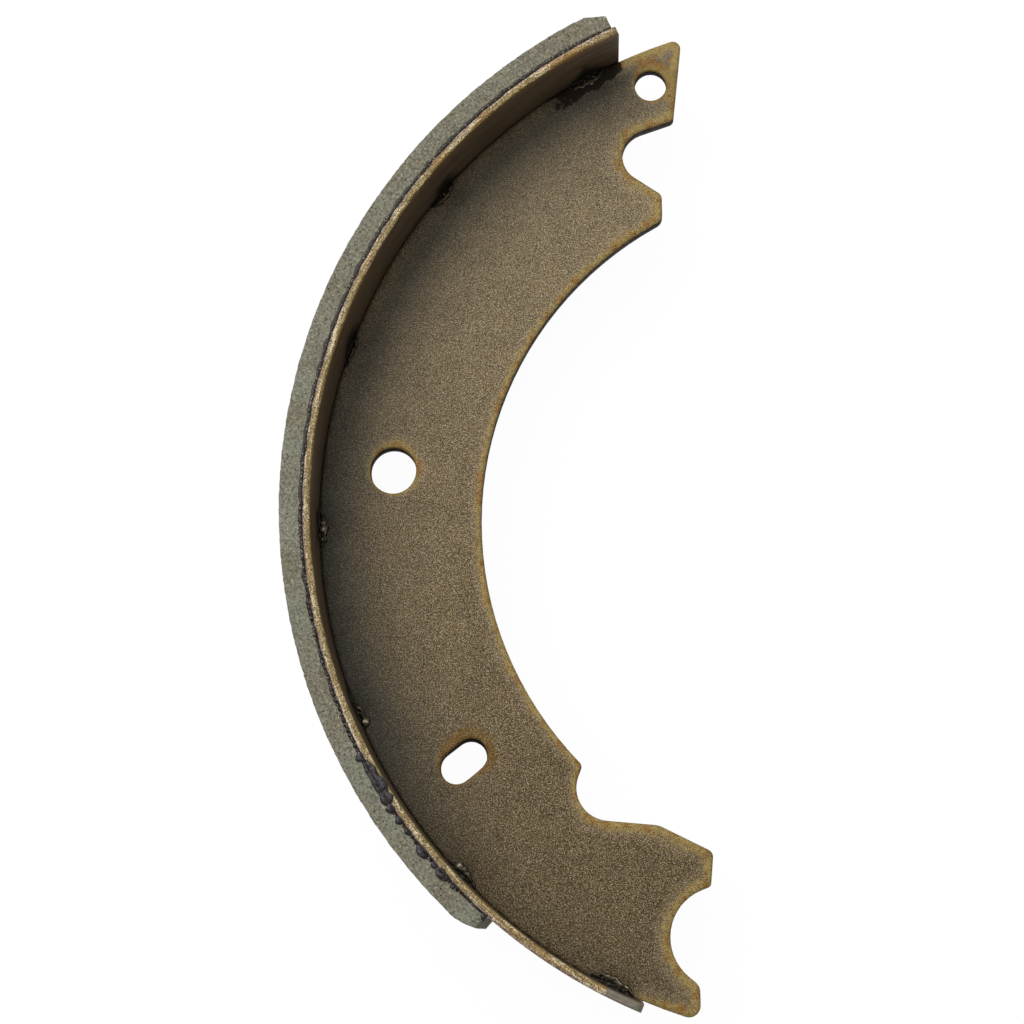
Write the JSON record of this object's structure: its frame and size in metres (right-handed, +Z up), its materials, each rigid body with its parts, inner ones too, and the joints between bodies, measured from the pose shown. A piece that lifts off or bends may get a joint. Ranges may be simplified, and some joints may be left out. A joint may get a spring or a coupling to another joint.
{
  "type": "brake shoe",
  "caption": "Bonded drum brake shoe: a stamped steel web with anchor and adjuster notches, welded inside a rolled rim that carries a curved friction lining.",
  "frame": {"origin": "on the surface that the shoe lies on, under the middle of the whole shoe", "axes": "+Z up, along the drum's axis; +Y along the shoe's chord, towards the adjuster end; +X from the lining towards the drum's axis"},
  "size_m": [0.1148, 0.273, 0.0508],
  "materials": {
    "stamped_web": "matte",
    "rolled_rim": "satin",
    "friction_lining": "matte",
    "bond_adhesive": "satin",
    "weld_flash": "satin"
  },
  "bodies": {
    "root": {"web": "stamped_web", "rim": "rolled_rim", "lining": "friction_lining", "bond": "bond_adhesive", "weld_1": "weld_flash", "weld_2": "weld_flash", "weld_3": "weld_flash", "weld_4": "weld_flash", "weld_5": "weld_flash", "weld_6": "weld_flash", "weld_7": "weld_flash"}
  },
  "joints": []
}
